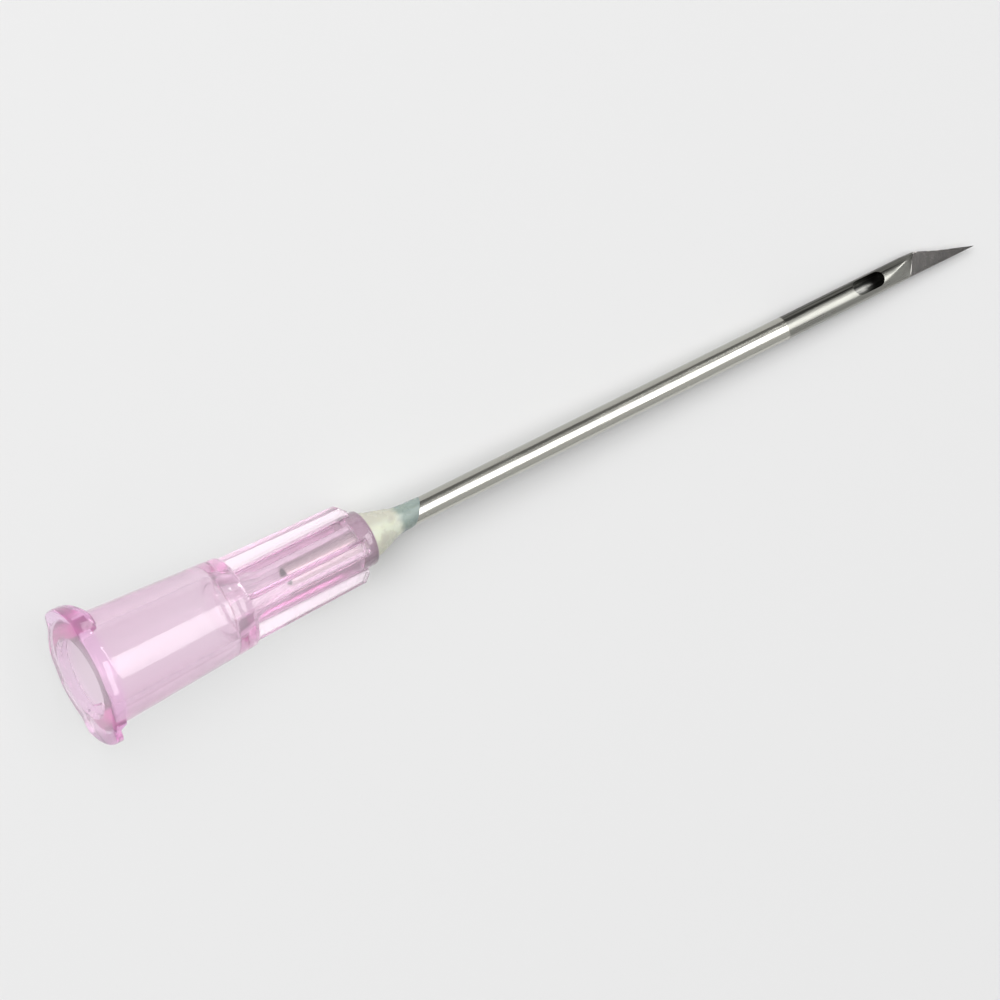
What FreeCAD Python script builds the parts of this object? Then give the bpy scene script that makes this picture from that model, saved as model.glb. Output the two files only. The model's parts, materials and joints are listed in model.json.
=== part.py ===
import FreeCAD, Part
import math
import os

import Sketcher

# Vented needle: a moulded hub with a female Luer socket, a stainless cannula with a closed knife
# point and a side port, and the adhesive that fixes one in the other.
# In each body the axis runs along +X from the flange face to the point, in millimetres.

os.makedirs("parts", exist_ok=True)
doc = FreeCAD.newDocument("VentedNeedle")

SIZES = {
    # Flange: a low rim with two flats, and two locking lugs with a screw's lead on their backs
    "rim_step": 0.14,
    "rim_flat_step": 0.04,
    "rim_thickness": 0.8,
    "lug_height": 0.6,
    "lug_half_width": 1.95,
    "lug_corner": 0.4,
    "lug_root": 0.25,
    "lug_lead": 5.0,
    "flange_edge": 0.2,
    # Barrel with its grip rings
    "barrel_length": 9.5,
    "barrel_front_radius": 3.16,
    "barrel_rear_radius": 2.55,
    "ring_count": 2,
    "ring_first": 7.75,
    "ring_pitch": 0.85,
    "ring_width": 0.3,
    "ring_height": 0.05,
    "ring_sink": 0.1,
    # Post with its fins
    "hub_length": 17.6,
    "post_radius": 1.55,
    "post_edge": 0.2,
    "fin_count": 4,
    "fin_setback": 0.6,
    "fin_thickness": 0.85,
    "fin_front_radius": 2.4,
    "fin_rear_radius": 2.17,
    "fin_bevel": 0.35,
    "fin_sink": 0.2,
    # Socket, throat and bore inside the hub
    "socket_mouth_radius": 2.15,
    "socket_taper": 0.03,
    "socket_depth": 8.5,
    "socket_lead_in": 0.22,
    "throat_radius": 1.45,
    "throat_end": 11.2,
    "bore_clearance": 0.02,
    # Adhesive in its well and along the tube
    "well_radius": 1.0,
    "well_depth": 0.8,
    "bead_radius": 1.34,
    "bead_length": 1.9,
    "bead_hollow": 0.14,
    "film_thickness": 0.1,
    "film_length": 1.1,
    "film_edge": 0.02,
    # Tube
    "cannula_radius": 0.635,
    "cannula_wall": 0.15,
    "cannula_start": 12.5,
    "cannula_exposed": 38.6,
    "cannula_roll": 16.5,
    # Side port
    "port_length": 1.9,
    "port_width": 0.88,
    "port_setback": 6.65,
    "port_angle": 15,
    "port_end_bulge": 0.36,
    # Crimp, blade and point, measured back from the point
    "crimp_setback": 5.4,
    "lumen_tail": 0.35,
    "blade_setback": 3.8,
    "blade_slant": 34,
    "blade_half_width": 0.59,
    "blade_half_thickness": 0.22,
    "blade_edge_bulge": 0.1,
    "blade_face_bulge": 0.015,
    "point_half_thickness": 0.03,
    "point_edge_bulge": 0.02,
    "point_face_bulge": 0.003,
    "point_drop": 0.57,
    "bevel_break": 2.05,
    "bevel_break_height": 0.07,
}

sizes = doc.addObject("Spreadsheet::Sheet", "Sizes")
for row, (alias, number) in enumerate(SIZES.items(), start=1):
    sizes.set(f"A{row}", alias.replace("_", " "))
    sizes.set(f"B{row}", str(number))
    sizes.setAlias(f"B{row}", alias)
doc.recompute()

# Formulas that several features share
AXIS = "0"
POINT = "(Sizes.hub_length + Sizes.cannula_exposed)"
CRIMP = f"({POINT} - Sizes.crimp_setback)"
BLADE = f"({POINT} - Sizes.blade_setback)"
BORE = "(Sizes.cannula_radius + Sizes.bore_clearance)"
LUMEN = "(Sizes.cannula_radius - Sizes.cannula_wall)"
WELL_FLOOR = "(Sizes.hub_length - Sizes.well_depth)"
RIM_RADIUS = "(Sizes.barrel_front_radius + Sizes.rim_step)"
RIM_FLAT = "(Sizes.barrel_front_radius + Sizes.rim_flat_step)"
LUG_REACH = f"({RIM_RADIUS} + Sizes.lug_height)"
FIN_END = "(Sizes.hub_length - Sizes.fin_setback)"
FIN_LENGTH = f"({FIN_END} - Sizes.barrel_length)"
# Cuts run past what they cut by this much
PAST = 1.0
# Tolerances for finding an edge by its box
NEAR = 1e-4
NEAR_ROUND = 1e-2
# A screw fitting with two starts has a lug for each
LUG_COUNT = 2
# Where the four arcs of the crimp's round end meet, as a share of the tube's radius
ARC_MEETING = 0.86


def number_of(formula):
    return float(sizes.evalExpression(formula))


def origin_feature(body, role):
    return next(item for item in body.Origin.OriginFeatures if item.Role == role)


def new_body(label):
    body = doc.addObject("PartDesign::Body", label)
    body.Label = label
    return body


def new_sketch(body, name, plane):
    sketch = body.newObject("Sketcher::SketchObject", name)
    sketch.AttachmentSupport = [(origin_feature(body, plane), "")]
    sketch.MapMode = "FlatFace"
    return sketch


def middle_of_arc(start, end, radius, bulges_right):
    """The middle of the short arc from start to end."""
    chord = end - start
    right = FreeCAD.Vector(chord.y, -chord.x, 0).normalize()
    rise = radius - math.sqrt(max(radius**2 - (chord.Length / 2) ** 2, 0))
    return (start + end) * 0.5 + right * (rise if bulges_right else -rise)


def add_outline(sketch, corners, arcs=None, hollow=()):
    """Closes a loop through corners given as formulas.

    arcs maps a side to its radius formula; it bulges to the right of the way, or left if in hollow.
    """
    arcs = arcs or {}
    points = [FreeCAD.Vector(number_of(x), number_of(y), 0) for x, y in corners]
    # An arc runs anticlockwise, so a hollow one is drawn from its second corner to its first
    starts = [2 if side in hollow else 1 for side in range(len(points))]
    for side, start in enumerate(points):
        end = points[(side + 1) % len(points)]
        if side in hollow:
            middle = middle_of_arc(start, end, number_of(arcs[side]), bulges_right=False)
            sketch.addGeometry(Part.Arc(end, middle, start), False)
        elif side in arcs:
            middle = middle_of_arc(start, end, number_of(arcs[side]), bulges_right=True)
            sketch.addGeometry(Part.Arc(start, middle, end), False)
        else:
            sketch.addGeometry(Part.LineSegment(start, end), False)
    for side in range(len(points)):
        following = (side + 1) % len(points)
        joined = Sketcher.Constraint("Coincident", side, 3 - starts[side], following, starts[following])
        sketch.addConstraint(joined)
    for side, (x, y) in enumerate(corners):
        for kind, axis, formula in (("DistanceX", -2, x), ("DistanceY", -1, y)):
            if formula == AXIS:
                sketch.addConstraint(Sketcher.Constraint("PointOnObject", side, starts[side], axis))
            else:
                place = Sketcher.Constraint(kind, -1, 1, side, starts[side], number_of(formula))
                bind(sketch, place, formula)
    for side, formula in arcs.items():
        bind(sketch, Sketcher.Constraint("Radius", side, number_of(formula)), formula)


def bind(sketch, constraint, formula):
    index = sketch.addConstraint(constraint)
    sketch.setExpression(f"Constraints[{index}]", formula)


def turned(body, name, kind, corners, arcs=None, hollow=()):
    """A Revolution or Groove about the axis, from an outline of (distance, radius) corners."""
    sketch = new_sketch(body, name + "Profile", "XZ_Plane")
    add_outline(sketch, corners, arcs, hollow)
    feature = body.newObject(kind, name)
    feature.Profile = (sketch, [""])
    feature.ReferenceAxis = (sketch, ["H_Axis"])
    feature.Angle = 360
    sketch.Visibility = False
    return feature


def arc_radius(half_chord, rise):
    return f"(({half_chord}) ^ 2 + ({rise}) ^ 2) / (2 * ({rise}))"


def rounded(body, name, base, edges, radius):
    feature = body.newObject("PartDesign::Fillet", name)
    feature.Base = (base, edges)
    feature.setExpression("Radius", radius)


def edges_where(shape, test):
    return [f"Edge{n}" for n, edge in enumerate(shape.Edges, start=1) if test(edge.BoundBox)]


def on_post_rim(box):
    end = number_of("Sizes.hub_length")
    radius = number_of("Sizes.post_radius")
    flat = abs(box.XMin - end) < NEAR and abs(box.XMax - end) < NEAR
    return flat and abs(box.YMax - radius) < NEAR_ROUND


def on_front_rim(box):
    return box.XMax < NEAR


def along_lug_side(box):
    """A straight edge that runs along the axis at the side of a lug."""
    across = abs(abs(box.ZMax) - number_of("Sizes.lug_half_width"))
    return box.YLength < NEAR and box.ZLength < NEAR and across < NEAR


def on_lug_corner(box):
    return along_lug_side(box) and abs(box.YMax) > number_of(RIM_RADIUS)


def on_lug_root(box):
    return along_lug_side(box) and abs(box.YMax) < number_of(RIM_RADIUS)


def symmetric(feature, width):
    feature.SideType = "Symmetric"
    feature.setExpression("Length", width)


def make_hub():
    """One translucent moulding: flange, barrel with rings, post with fins, and the passage inside."""
    body = new_body("hub")
    barrel = turned(body, "Barrel", "PartDesign::Revolution", [
        (AXIS, AXIS),
        (AXIS, "Sizes.barrel_front_radius"),
        ("Sizes.barrel_length", "Sizes.barrel_rear_radius"),
        ("Sizes.barrel_length", "Sizes.post_radius"),
        ("Sizes.hub_length", "Sizes.post_radius"),
        ("Sizes.hub_length", AXIS),
    ])
    doc.recompute()
    rounded(body, "PostEdge", barrel, edges_where(barrel.Shape, on_post_rim), "Sizes.post_edge")
    add_flange(body)
    add_grip_rings(body)
    add_fins(body)
    cut_passage(body)
    return body


def add_flange(body):
    """A low rim round the mouth, with flats above and below and a lug on each side."""
    profile = new_sketch(body, "RimProfile", "YZ_Plane")
    corner = f"sqrt({RIM_RADIUS} ^ 2 - {RIM_FLAT} ^ 2)"
    corners = [
        (f"-{corner}", f"-{RIM_FLAT}"),
        (corner, f"-{RIM_FLAT}"),
        (corner, RIM_FLAT),
        (f"-{corner}", RIM_FLAT),
    ]
    add_outline(profile, corners, {1: RIM_RADIUS, 3: RIM_RADIUS})
    rim = body.newObject("PartDesign::Pad", "Rim")
    rim.Profile = (profile, [""])
    rim.setExpression("Length", "Sizes.rim_thickness")
    add_lugs(body)
    doc.recompute()
    for name, test, radius in (
        ("LugCorners", on_lug_corner, "Sizes.lug_corner"),
        ("LugRoots", on_lug_root, "Sizes.lug_root"),
        ("FlangeEdge", on_front_rim, "Sizes.flange_edge"),
    ):
        rounded(body, name, body.Tip, edges_where(body.Tip.Shape, test), radius)
        doc.recompute()


def add_lugs(body):
    """One lug, seen from the side, is padded past its reach, doubled, and turned down to size."""
    ramp = f"Sizes.lug_lead / (2 * pi * {LUG_REACH}) * Sizes.lug_half_width"
    thick_end = f"(Sizes.rim_thickness + {ramp})"
    thin_end = f"(Sizes.rim_thickness - {ramp})"
    profile = new_sketch(body, "LugProfile", "XZ_Plane")
    add_outline(profile, [
        (AXIS, "-Sizes.lug_half_width"),
        (thick_end, "-Sizes.lug_half_width"),
        (thin_end, "Sizes.lug_half_width"),
        (AXIS, "Sizes.lug_half_width"),
    ])
    lug = body.newObject("PartDesign::Pad", "Lug")
    lug.Profile = (profile, [""])
    lug.setExpression("Length", f"{LUG_REACH} + {PAST}")
    lugs = body.newObject("PartDesign::PolarPattern", "Lugs")
    lugs.Originals = [lug]
    lugs.Axis = (origin_feature(body, "X_Axis"), [""])
    lugs.Angle = 360
    lugs.Occurrences = LUG_COUNT
    body.Tip = lugs
    turned(body, "LugReach", "PartDesign::Groove", [
        (f"-{PAST}", LUG_REACH),
        (f"{thick_end} + {PAST}", LUG_REACH),
        (f"{thick_end} + {PAST}", f"{LUG_REACH} + 2 * {PAST}"),
        (f"-{PAST}", f"{LUG_REACH} + 2 * {PAST}"),
    ])


def add_grip_rings(body):
    """Low rounded rings near the barrel's end, repeated along the axis."""
    narrowing = "(Sizes.barrel_front_radius - Sizes.barrel_rear_radius) / Sizes.barrel_length"
    seat = f"(Sizes.barrel_front_radius - {narrowing} * Sizes.ring_first)"
    root = f"{seat} - Sizes.ring_pitch * {narrowing} - Sizes.ring_sink"
    half_width = "Sizes.ring_width / 2"
    corners = [
        (f"Sizes.ring_first - {half_width}", root),
        (f"Sizes.ring_first + {half_width}", root),
        (f"Sizes.ring_first + {half_width}", seat),
        (f"Sizes.ring_first - {half_width}", seat),
    ]
    crown = {2: arc_radius(half_width, "Sizes.ring_height")}
    ring = turned(body, "GripRing", "PartDesign::Revolution", corners, crown)
    rings = body.newObject("PartDesign::LinearPattern", "GripRings")
    rings.Originals = [ring]
    rings.Direction = (origin_feature(body, "X_Axis"), [""])
    rings.setExpression("Length", "(Sizes.ring_count - 1) * Sizes.ring_pitch")
    rings.setExpression("Occurrences", "Sizes.ring_count")
    body.Tip = rings


def add_fins(body):
    """Bevelled fins round the post, which grow out of the barrel's end."""
    narrowing = f"(Sizes.fin_front_radius - Sizes.fin_rear_radius) / {FIN_LENGTH}"
    root = "Sizes.post_radius / 2"
    front = "Sizes.barrel_length - Sizes.fin_sink"
    profile = new_sketch(body, "FinProfile", "XZ_Plane")
    add_outline(profile, [
        (front, root),
        (FIN_END, root),
        (FIN_END, "Sizes.fin_rear_radius - Sizes.fin_bevel"),
        (f"{FIN_END} - Sizes.fin_bevel", f"Sizes.fin_rear_radius + {narrowing} * Sizes.fin_bevel"),
        (front, f"Sizes.fin_front_radius + {narrowing} * Sizes.fin_sink"),
    ])
    fin = body.newObject("PartDesign::Pad", "Fin")
    fin.Profile = (profile, [""])
    symmetric(fin, "Sizes.fin_thickness")
    fins = body.newObject("PartDesign::PolarPattern", "Fins")
    fins.Originals = [fin]
    fins.Axis = (origin_feature(body, "X_Axis"), [""])
    fins.Angle = 360
    fins.setExpression("Occurrences", "Sizes.fin_count")
    body.Tip = fins


def cut_passage(body):
    """The tapered socket, the throat that leads on to the tube, its bore and the adhesive's well."""
    lead_in_end = "Sizes.socket_mouth_radius - Sizes.socket_taper * Sizes.socket_lead_in"
    socket_end = "Sizes.socket_mouth_radius - Sizes.socket_taper * Sizes.socket_depth"
    turned(body, "Passage", "PartDesign::Groove", [
        (f"-{PAST}", AXIS),
        (f"-{PAST}", "Sizes.socket_mouth_radius + Sizes.socket_lead_in"),
        (AXIS, "Sizes.socket_mouth_radius + Sizes.socket_lead_in"),
        ("Sizes.socket_lead_in", lead_in_end),
        ("Sizes.socket_depth", socket_end),
        ("Sizes.socket_depth", "Sizes.throat_radius"),
        ("Sizes.throat_end", BORE),
        (WELL_FLOOR, BORE),
        (WELL_FLOOR, "Sizes.well_radius"),
        (f"Sizes.hub_length + {PAST}", "Sizes.well_radius"),
        (f"Sizes.hub_length + {PAST}", AXIS),
    ])


def oval(sketch, half_width, half_height, side_bulge, face_bulge):
    """Four arcs: two short ends at the sides and two long, nearly flat faces."""
    x = f"({half_width} - {side_bulge})"
    y = f"({half_height} - {face_bulge})"
    add_outline(
        sketch,
        [(f"-{x}", f"-{y}"), (x, f"-{y}"), (x, y), (f"-{x}", y)],
        {
            0: arc_radius(x, face_bulge),
            1: arc_radius(y, side_bulge),
            2: arc_radius(x, face_bulge),
            3: arc_radius(y, side_bulge),
        },
    )


def section(body, name, distance):
    """A sketch across the axis, at a distance from the flange face."""
    sketch = new_sketch(body, name, "YZ_Plane")
    sketch.setExpression("AttachmentOffset.Base.z", distance)
    return sketch


def turn_sketch(sketch, axis, formula):
    """Turns a sketch about one of its own axes."""
    turn = FreeCAD.Rotation(axis, number_of(formula))
    sketch.AttachmentOffset = FreeCAD.Placement(sketch.AttachmentOffset.Base, turn)
    sketch.setExpression("AttachmentOffset.Rotation.Angle", formula)


def make_cannula():
    """One tube, crimped shut, pressed flat and ground to a knife point, with a port in its side."""
    body = new_body("cannula")
    turned(body, "Tube", "PartDesign::Revolution", [
        ("Sizes.cannula_start", AXIS),
        ("Sizes.cannula_start", "Sizes.cannula_radius"),
        (CRIMP, "Sizes.cannula_radius"),
        (CRIMP, AXIS),
    ])
    add_blade(body)
    cut_bevel(body)
    turned(body, "Lumen", "PartDesign::Groove", [
        (f"Sizes.cannula_start - {PAST}", AXIS),
        (f"Sizes.cannula_start - {PAST}", LUMEN),
        (CRIMP, LUMEN),
        (f"{CRIMP} + Sizes.lumen_tail", AXIS),
    ])
    doc.recompute()
    cut_port(body)
    return body


def add_blade(body):
    """The crimp runs from the round tube to a slanting flat section, and the blade on to the point."""
    round_end = section(body, "CrimpRound", CRIMP)
    x = f"Sizes.cannula_radius * {ARC_MEETING}"
    y = f"Sizes.cannula_radius * sqrt(1 - {ARC_MEETING} ^ 2)"
    # Four arcs, so that each meets one arc of the oval
    arcs = {side: "Sizes.cannula_radius" for side in range(4)}
    add_outline(round_end, [(f"-{x}", f"-{y}"), (x, f"-{y}"), (x, y), (f"-{x}", y)], arcs)

    flat_end = section(body, "CrimpFlat", BLADE)
    turn_sketch(flat_end, FreeCAD.Vector(0, 1, 0), "-Sizes.blade_slant")
    lean = "cos(Sizes.blade_slant * 1 deg)"
    half_width = f"Sizes.blade_half_width / {lean}"
    edge_bulge = f"Sizes.blade_edge_bulge / {lean}"
    oval(flat_end, half_width, "Sizes.blade_half_thickness", edge_bulge, "Sizes.blade_face_bulge")

    point_end = section(body, "PointFlat", POINT)
    thickness = "Sizes.point_half_thickness"
    oval(point_end, "Sizes.blade_half_width", thickness, "Sizes.point_edge_bulge", "Sizes.point_face_bulge")

    crimp = body.newObject("PartDesign::AdditiveLoft", "Crimp")
    crimp.Profile = (round_end, [""])
    crimp.Sections = [(flat_end, [""]), (point_end, [""])]
    crimp.Ruled = True
    doc.recompute()


def cut_bevel(body):
    """Grinds the upper edge away in two slopes, so that the point lies at the lower edge."""
    profile = new_sketch(body, "BevelProfile", "XY_Plane")
    last_fall = "(Sizes.bevel_break_height + Sizes.point_drop) / Sizes.bevel_break"
    corner = f"({BLADE} + Sizes.blade_half_width * tan(Sizes.blade_slant * 1 deg))"
    clear = f"Sizes.cannula_radius + {PAST}"
    add_outline(profile, [
        (corner, "Sizes.blade_half_width"),
        (f"{POINT} - Sizes.bevel_break", "Sizes.bevel_break_height"),
        (f"{POINT} + {PAST}", f"-Sizes.point_drop - {PAST} * {last_fall}"),
        (f"{POINT} + {PAST}", clear),
        (corner, clear),
    ])
    bevel = body.newObject("PartDesign::Pocket", "Bevel")
    bevel.Profile = (profile, [""])
    symmetric(bevel, f"2 * ({clear})")
    doc.recompute()


def cut_port(body):
    """An oblong hole with rounded ends, through the wall on one side only."""
    profile = new_sketch(body, "PortProfile", "XY_Plane")
    turn_sketch(profile, FreeCAD.Vector(1, 0, 0), "-Sizes.port_angle")
    middle = f"({POINT} - Sizes.port_setback)"
    straight = "(Sizes.port_length / 2 - Sizes.port_end_bulge)"
    half = "(Sizes.port_width / 2)"
    corners = [
        (f"{middle} - {straight}", f"-{half}"),
        (f"{middle} + {straight}", f"-{half}"),
        (f"{middle} + {straight}", half),
        (f"{middle} - {straight}", half),
    ]
    end_radius = arc_radius(half, "Sizes.port_end_bulge")
    add_outline(profile, corners, {1: end_radius, 3: end_radius})
    port = body.newObject("PartDesign::Pocket", "Port")
    port.Profile = (profile, [""])
    port.Reversed = True
    port.setExpression("Length", f"Sizes.cannula_radius + {PAST}")


def make_epoxy():
    """The adhesive: a plug in the well, a hollow cone on the post's end and a film up the tube."""
    body = new_body("epoxy_bead")
    film = "(Sizes.cannula_radius + Sizes.film_thickness)"
    bead_end = "(Sizes.hub_length + Sizes.bead_length)"
    half_chord = f"sqrt(Sizes.bead_length ^ 2 + (Sizes.bead_radius - {film}) ^ 2) / 2"
    corners = [
        (WELL_FLOOR, "Sizes.cannula_radius"),
        (f"{bead_end} + Sizes.film_length", "Sizes.cannula_radius"),
        (f"{bead_end} + Sizes.film_length", "Sizes.cannula_radius + Sizes.film_edge"),
        (bead_end, film),
        ("Sizes.hub_length", "Sizes.bead_radius"),
        ("Sizes.hub_length", "Sizes.well_radius"),
        (WELL_FLOOR, "Sizes.well_radius"),
    ]
    cone = {3: arc_radius(half_chord, "Sizes.bead_hollow")}
    turned(body, "Bead", "PartDesign::Revolution", corners, cone, hollow=(3,))
    return body


def lay_down(bodies, rolled):
    """Rests the needle on the lower flat of its rim and on the tube where the crimp starts."""
    drop = number_of(f"{RIM_FLAT} - Sizes.cannula_radius")
    run = number_of(f"{CRIMP} - Sizes.rim_thickness")
    tilt = math.degrees(math.atan2(drop, run))
    rest = FreeCAD.Rotation(FreeCAD.Vector(0, 1, 0), tilt)
    flat = number_of(RIM_FLAT)
    heel = rest.multVec(FreeCAD.Vector(number_of("Sizes.rim_thickness"), 0, -flat))
    rear = rest.multVec(FreeCAD.Vector(0, 0, -flat))
    point = rest.multVec(FreeCAD.Vector(number_of(POINT), 0, 0))
    place = FreeCAD.Placement(FreeCAD.Vector(-(rear.x + point.x) / 2, 0, -heel.z), rest)
    for body in bodies:
        body.Placement = place
    roll = FreeCAD.Rotation(FreeCAD.Vector(1, 0, 0), -number_of("Sizes.cannula_roll"))
    rolled.Placement = place.multiply(FreeCAD.Placement(FreeCAD.Vector(0, 0, 0), roll))
    print("tilt", round(tilt, 4), "place", place.Base)


def check_and_write(bodies):
    doc.recompute()
    for item in doc.Objects:
        if "Invalid" in item.State or "Error" in item.State:
            raise RuntimeError(f"{item.Name} failed: {item.State}")
    for body in bodies:
        if body.Shape.isNull() or not body.Shape.isValid():
            raise RuntimeError(f"{body.Label} has no valid shape")
        print(body.Label, "solids", len(body.Shape.Solids), "volume", round(body.Shape.Volume, 4))
        body.Shape.exportStep(f"parts/{body.Label}.step")


hub = make_hub()
cannula = make_cannula()
epoxy_bead = make_epoxy()
doc.recompute()
lay_down([hub, cannula, epoxy_bead], rolled=cannula)
check_and_write([hub, cannula, epoxy_bead])
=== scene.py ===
# %% [markdown]
# # A vented needle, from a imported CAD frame
#
# The object is small and plain: a pink see-through moulding, a steel tube with a ground point and
# a hole in its side, and a cone of adhesive between them. Its looks come from three things only:
# light that bends through clear plastic, a mirror-like cylinder, and a soft milky glue.
# So this lesson spends its effort on smooth, closed meshes and on what the surfaces reflect.

# %% Load the frame
import json
import math

import bmesh
import bpy
import numpy as np
from mathutils import Matrix, Vector


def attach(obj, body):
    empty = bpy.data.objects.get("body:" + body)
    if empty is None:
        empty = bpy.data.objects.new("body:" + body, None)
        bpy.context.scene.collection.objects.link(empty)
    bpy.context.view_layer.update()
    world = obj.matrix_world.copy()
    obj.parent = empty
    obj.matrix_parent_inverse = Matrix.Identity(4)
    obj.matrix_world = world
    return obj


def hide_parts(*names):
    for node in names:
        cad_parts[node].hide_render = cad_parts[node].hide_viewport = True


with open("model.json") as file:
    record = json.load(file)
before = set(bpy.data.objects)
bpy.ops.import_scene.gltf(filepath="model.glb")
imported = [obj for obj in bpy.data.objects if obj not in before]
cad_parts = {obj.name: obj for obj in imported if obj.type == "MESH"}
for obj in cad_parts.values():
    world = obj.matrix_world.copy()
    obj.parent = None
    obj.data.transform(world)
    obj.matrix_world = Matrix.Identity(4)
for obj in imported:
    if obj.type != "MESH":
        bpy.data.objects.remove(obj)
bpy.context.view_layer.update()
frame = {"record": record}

# %% [markdown]
# ## Where the needle lies
#
# The CAD model lies on the floor, so its own axis falls a few degrees towards the point. Every
# piece here is drawn in the needle's own directions, which are easy to think in: along the tube,
# across the lugs, and up. The record's mounts say where the flange face is and which way it looks,
# and from those two facts comes one matrix that takes a drawn piece to its place.

# %% The needle's own directions
MM = 0.001
mounts = {mount["name"]: mount for mount in frame["record"]["mounts"]}
FACE_CENTRE = Vector(mounts["luer_socket"]["pos_m"])
ALONG = -Vector(mounts["flange_face"]["axis"]).normalized()
ACROSS = Vector((0, 1, 0))
UP = ALONG.cross(ACROSS)


def place_matrix(roll=0.0):
    """From millimetres along, across and up to metres in the row frame, after a roll in degrees."""
    turn = math.radians(roll)
    side = ACROSS * math.cos(turn) - UP * math.sin(turn)
    face = UP * math.cos(turn) + ACROSS * math.sin(turn)
    columns = Matrix((ALONG, side, face)).transposed().to_4x4()
    return Matrix.Translation(FACE_CENTRE) @ columns @ Matrix.Scale(MM, 4)


print("the axis falls", round(math.degrees(math.asin(-ALONG.z)), 2), "degrees")

# %% Sizes in millimetres, as in the part
HUB_LENGTH = 17.6
POINT = HUB_LENGTH + 38.6
RIM_RADIUS = 3.3
RIM_FLAT = 3.2
RIM_THICKNESS = 0.8
LUG_REACH = 3.9
LUG_HALF_WIDTH = 1.95
LUG_LEAD = 5.0
BARREL_LENGTH = 9.5
BARREL_FRONT = 3.16
BARREL_REAR = 2.55
POST_RADIUS = 1.55
FIN_END = HUB_LENGTH - 0.6
FIN_HALF = 0.425
FIN_FRONT = 2.4
FIN_REAR = 2.17
FIN_BEVEL = 0.35
SOCKET_MOUTH = 2.15
SOCKET_TAPER = 0.03
SOCKET_DEPTH = 8.5
LEAD_IN = 0.22
THROAT_RADIUS = 1.45
THROAT_END = 11.2
TUBE_RADIUS = 0.635
BORE_RADIUS = TUBE_RADIUS + 0.02
WELL_RADIUS = 1.0
WELL_FLOOR = HUB_LENGTH - 0.8
TUBE_START = 12.5
CRIMP_START = POINT - 5.2
BLADE_START = POINT - 3.8
FINISH_LINE = POINT - 12.0
TUBE_ROLL = 16.5
print("from flange face to point:", POINT, "mm")

# %% [markdown]
# ## The camera
#
# The picture was taken from well above, with a long lens, and the needle runs up to the right.
# Three angles say all of it: how steeply the axis climbs in the picture, how far the axis leans
# away from the line of sight, and how far the lugs are turned from the picture's plane. The
# distance is solved so that the flange's centre falls on its pixel, so there is no shift.

# %% Camera from three angles and one pixel
PICTURE_SIDE = 1000
FLANGE_PIXEL = (80.3, 678.6)
AXIS_CLIMB = math.radians(26.53)
AXIS_TO_SIGHT = math.radians(69.3)
LUG_TURN = math.radians(16.5)
CAMERA_DISTANCE = 0.600
PIXELS_PER_METRE = 19210
SENSOR = 36.0

# The needle's directions as the camera sees them: to the right, up, and towards the camera
flat_share = math.sin(AXIS_TO_SIGHT)
seen_along = Vector((
    flat_share * math.cos(AXIS_CLIMB),
    flat_share * math.sin(AXIS_CLIMB),
    -math.cos(AXIS_TO_SIGHT),
))
seen_square = Vector((-math.sin(AXIS_CLIMB), math.cos(AXIS_CLIMB), 0))
seen_face = seen_along.cross(seen_square)
seen_across = seen_square * math.cos(LUG_TURN) + seen_face * math.sin(LUG_TURN)
seen_up = seen_face * math.cos(LUG_TURN) - seen_square * math.sin(LUG_TURN)

to_row = Matrix((ALONG, ACROSS, UP)).transposed() @ Matrix((seen_along, seen_across, seen_up))
focal_pixels = PIXELS_PER_METRE * CAMERA_DISTANCE
flange_seen = Vector((
    (FLANGE_PIXEL[0] - PICTURE_SIDE / 2) / PIXELS_PER_METRE,
    (PICTURE_SIDE / 2 - FLANGE_PIXEL[1]) / PIXELS_PER_METRE,
    -CAMERA_DISTANCE,
))
camera_data = bpy.data.cameras.new("Camera")
camera_data.sensor_width = SENSOR
camera_data.lens = SENSOR * focal_pixels / PICTURE_SIDE
camera_data.clip_start = 0.01
camera_data.clip_end = 20
camera = bpy.data.objects.new("Camera", camera_data)
camera.matrix_world = Matrix.Translation(FACE_CENTRE - to_row @ flange_seen) @ to_row.to_4x4()
bpy.context.scene.collection.objects.link(camera)
bpy.context.scene.camera = camera
to_camera = to_row @ Vector((0, 0, 1))
print("the camera looks down", round(math.degrees(math.asin(to_camera.z)), 1), "degrees")

# %% [markdown]
# ## Floor, room and lamps
#
# A polished tube shows its surroundings as long bands, so the surroundings are the lighting plan.
# Each lamp stands where the tube mirrors it to the camera, and a small function turns an angle off
# the axis and a turn about it into that direction. A strip light makes the white band along tube
# and barrel. A dim wall beside it makes the grey band below, and a narrow lamp lights only the
# fold before the blade. The room itself is dim, which gives the dark bands between.
#
# Two more lamps do the opposite job: no reflection shows them, and they light the pale floor. The
# key light throws the soft shadow below the needle, and the overhead fill keeps that shadow pale.

# %% Pale floor that looks the same to every ray
scene = bpy.context.scene
scene.view_settings.view_transform = "Standard"
FLOOR_COLOUR = (0.80, 0.80, 0.80, 1)
FLOOR_SIDE = 6.0

floor_mesh = bpy.data.meshes.new("Floor")
half_floor = FLOOR_SIDE / 2
floor_mesh.from_pydata(
    [(-half_floor, -half_floor, 0), (half_floor, -half_floor, 0), (half_floor, half_floor, 0),
     (-half_floor, half_floor, 0)], [], [(0, 1, 2, 3)])
floor = bpy.data.objects.new("Floor", floor_mesh)
scene.collection.objects.link(floor)
floor_material = bpy.data.materials.new("Floor")
floor_material.use_nodes = True
floor_shader = floor_material.node_tree.nodes["Principled BSDF"]
floor_shader.inputs["Base Color"].default_value = FLOOR_COLOUR
floor_shader.inputs["Roughness"].default_value = 1.0
floor_shader.inputs["Specular IOR Level"].default_value = 0.0
floor_mesh.materials.append(floor_material)

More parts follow.
